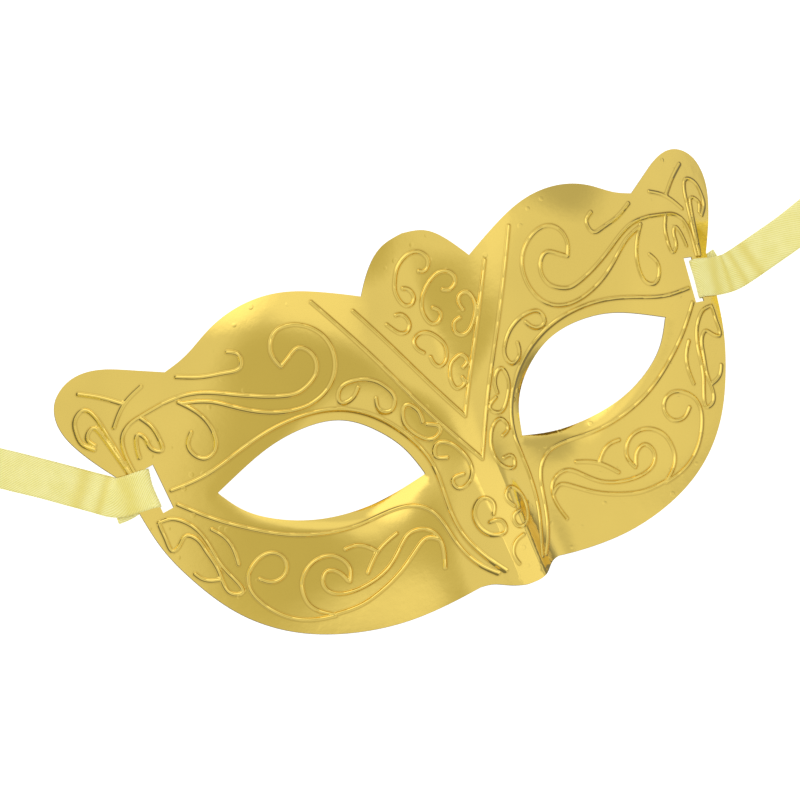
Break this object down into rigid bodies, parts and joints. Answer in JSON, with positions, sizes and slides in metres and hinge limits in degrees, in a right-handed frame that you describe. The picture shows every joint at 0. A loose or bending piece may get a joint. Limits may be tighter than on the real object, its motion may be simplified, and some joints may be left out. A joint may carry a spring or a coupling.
{
  "type": "venetian masquerade mask",
  "caption": "Thin gold-metallised half mask with eye openings, a raised line ornament and a satin ribbon tie looped through a slot at each side.",
  "frame": {"origin": "on the surface that the mask lies on, face up, below the middle of the mask's box", "axes": "+X to the right across the mask as seen from the front, +Y up towards the forehead, +Z out of the face"},
  "size_m": [0.3577, 0.1033, 0.04],
  "materials": {
    "shell": "gold metallised, mirror bright",
    "ribbon": "satin weave, pale lemon yellow",
    "glue": "clear hardened adhesive, slightly yellow"
  },
  "bodies": {
    "mask": {"mask_shell": "shell", "left_ribbon_loop": "ribbon", "left_glue_spot": "glue", "right_ribbon_loop": "ribbon", "right_glue_spot": "glue"},
    "left_tie": {"left_ribbon": "ribbon", "left_ribbon_coil": "ribbon"},
    "right_tie": {"right_ribbon": "ribbon", "right_ribbon_coil": "ribbon"}
  },
  "joints": [
    {"name": "left_tie_swing", "type": "hinge", "parent": "mask", "child": "left_tie", "pos_m": [-0.0904, 0.0148, 0.0026], "axis": [0, 1, 0], "range_deg": [-90, 80]},
    {"name": "right_tie_swing", "type": "hinge", "parent": "mask", "child": "right_tie", "pos_m": [0.0904, 0.0124, 0.0026], "axis": [0, -1, 0], "range_deg": [-90, 80]}
  ]
}
